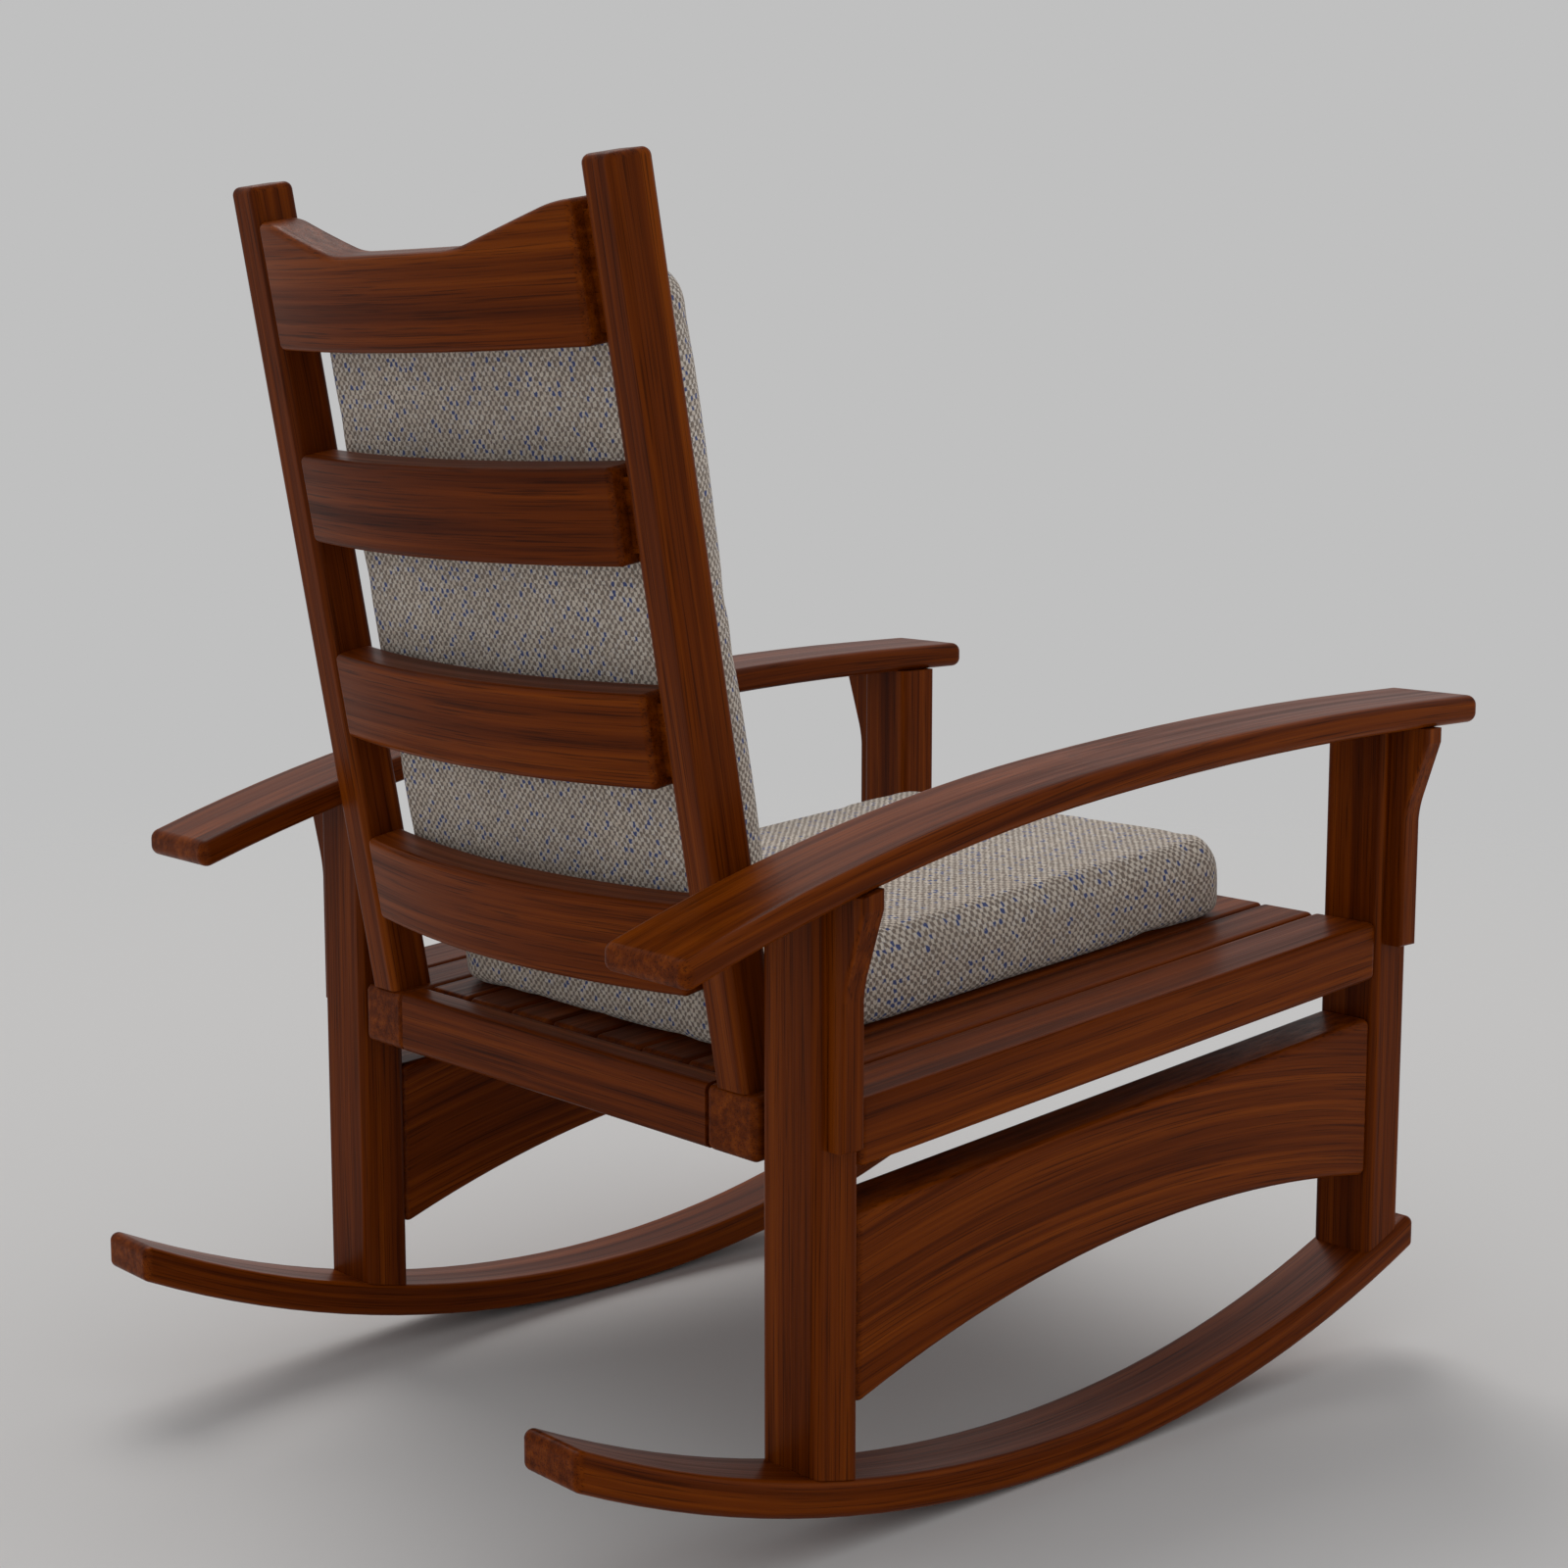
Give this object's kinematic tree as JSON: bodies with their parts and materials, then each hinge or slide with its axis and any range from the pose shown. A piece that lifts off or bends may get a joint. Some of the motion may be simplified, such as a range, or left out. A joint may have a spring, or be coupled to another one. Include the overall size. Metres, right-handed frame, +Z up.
{
  "type": "rocking chair",
  "caption": "Bow-arm wooden rocking chair with a slatted reclined back, curved rockers, arched side panels and loose seat and back cushions.",
  "frame": {"origin": "on the floor, at the middle of the chair's bounding box in plan", "axes": "+Z up, the chair faces -Y, +X to the sitter's left; the two sides mirror each other about X = 0"},
  "size_m": [0.768, 1.015, 1.074],
  "materials": {
    "hardwood": "satin",
    "dowel_wood": "matte",
    "upholstery": "matte",
    "screw_steel": "satin"
  },
  "bodies": {
    "frame": {"rocker_left": "hardwood", "leg_rear_left": "hardwood", "corbel_rear_left": "hardwood", "leg_front_left": "hardwood", "corbel_front_left": "hardwood", "arm_left": "hardwood", "side_rail_left": "hardwood", "inner_rail_left": "hardwood", "side_panel_left": "hardwood", "back_post_left": "hardwood", "rocker_right": "hardwood", "leg_rear_right": "hardwood", "corbel_rear_right": "hardwood", "leg_front_right": "hardwood", "corbel_front_right": "hardwood", "arm_right": "hardwood", "side_rail_right": "hardwood", "inner_rail_right": "hardwood", "side_panel_right": "hardwood", "back_post_right": "hardwood", "rear_rail": "hardwood", "front_rail": "hardwood", "rear_cleat": "hardwood", "seat_slat_1": "hardwood", "seat_slat_2": "hardwood", "seat_slat_3": "hardwood", "seat_slat_4": "hardwood", "seat_slat_5": "hardwood", "seat_slat_6": "hardwood", "seat_slat_7": "hardwood", "back_slat_lower": "hardwood", "back_slat_middle": "hardwood", "back_slat_upper": "hardwood", "crest_rail": "hardwood", "rocker_dowels": "dowel_wood", "arm_dowels": "dowel_wood", "corbel_dowels": "dowel_wood", "side_rail_dowels": "dowel_wood", "panel_dowels": "dowel_wood", "inner_rail_dowels": "dowel_wood", "cross_rail_dowels": "dowel_wood", "post_dowels": "dowel_wood", "slat_screws": "screw_steel"},
    "seat_cushion": {"seat_cushion": "upholstery"},
    "back_cushion": {"back_cushion": "upholstery"}
  },
  "joints": [
    {"name": "seat_cushion_slide", "type": "slide", "parent": "frame", "child": "seat_cushion", "axis": [0, -0.9964, 0.0845], "range_m": [0, 0.15]},
    {"name": "back_cushion_slide", "type": "slide", "parent": "frame", "child": "back_cushion", "axis": [0, -0.9847, 0.1745], "range_m": [0, 0.12]}
  ]
}
